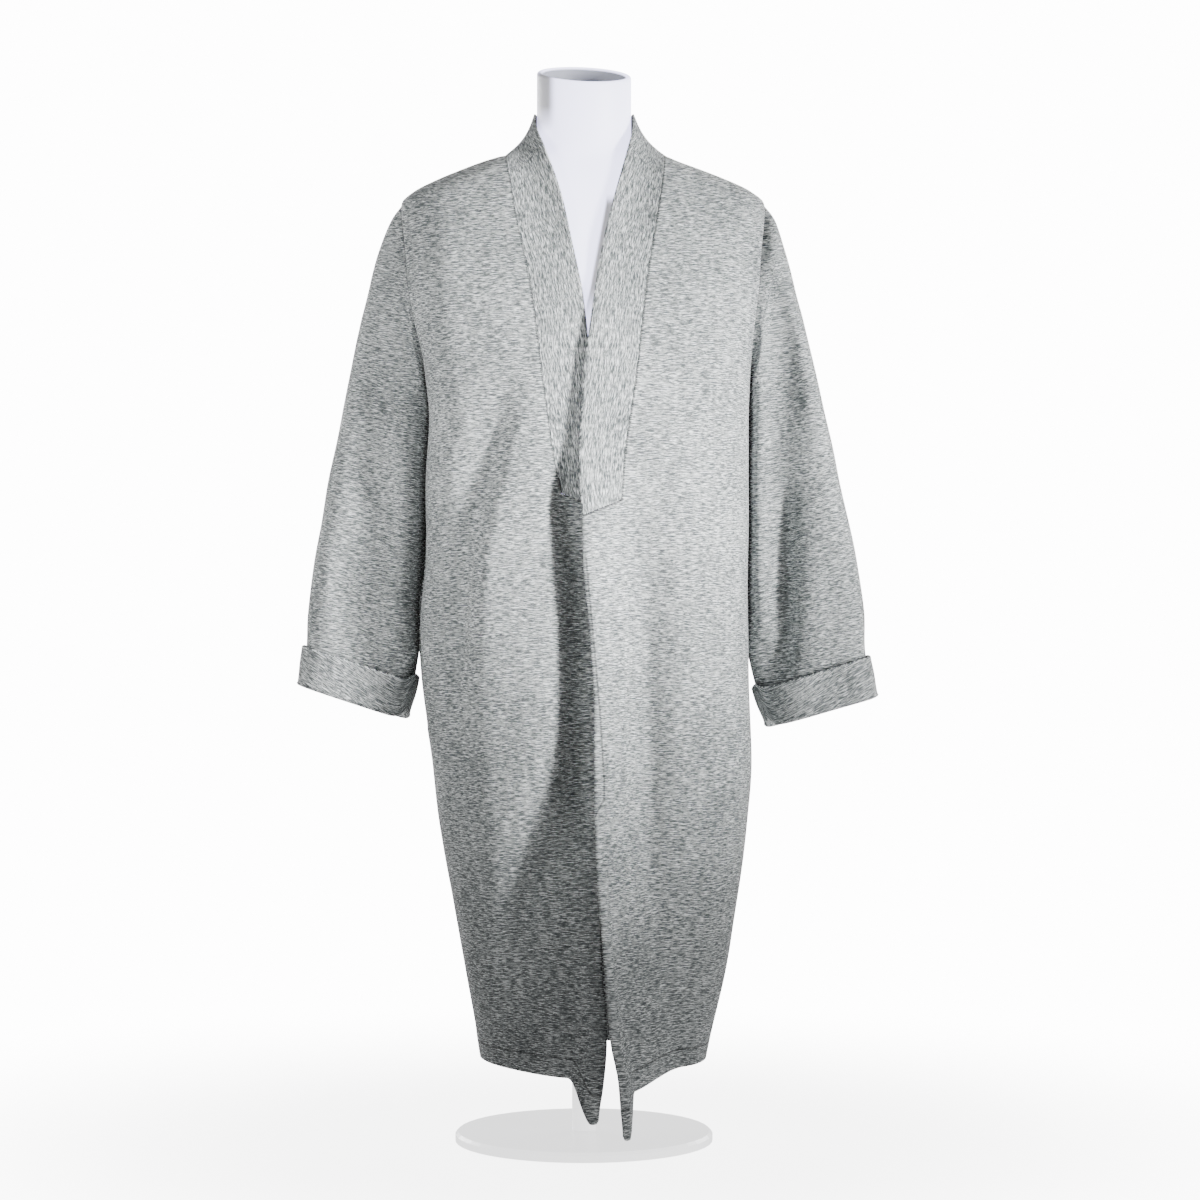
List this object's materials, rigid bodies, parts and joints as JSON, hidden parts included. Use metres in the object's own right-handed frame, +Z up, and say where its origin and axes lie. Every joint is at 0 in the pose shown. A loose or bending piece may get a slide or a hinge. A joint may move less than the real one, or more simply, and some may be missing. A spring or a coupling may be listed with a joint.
{
  "type": "long open-front sweatshirt-knit coat on a dress form",
  "caption": "Long open-front coat in grey heather sweatshirt knit, with a wide band collar and turned-up cuffs, hung on a white limbless dress form with a round stand.",
  "frame": {"origin": "centre of the round base's underside, on the floor under the middle of the dress form", "axes": "+Z up, +X towards the wearer's left, -Y towards the coat's front"},
  "size_m": [0.6103, 0.3057, 1.134],
  "materials": {
    "heather_knit": "matte heather knit with fine streaks",
    "form_shell": "smooth satin white",
    "stand_lacquer": "smooth white lacquer"
  },
  "bodies": {
    "root": {"back": "heather_knit", "front_right": "heather_knit", "front_left": "heather_knit", "sleeve_right": "heather_knit", "sleeve_left": "heather_knit", "cuff_right": "heather_knit", "cuff_left": "heather_knit", "band_right": "heather_knit", "band_left": "heather_knit", "form_torso": "form_shell", "form_post": "stand_lacquer", "form_base": "stand_lacquer"}
  },
  "joints": []
}
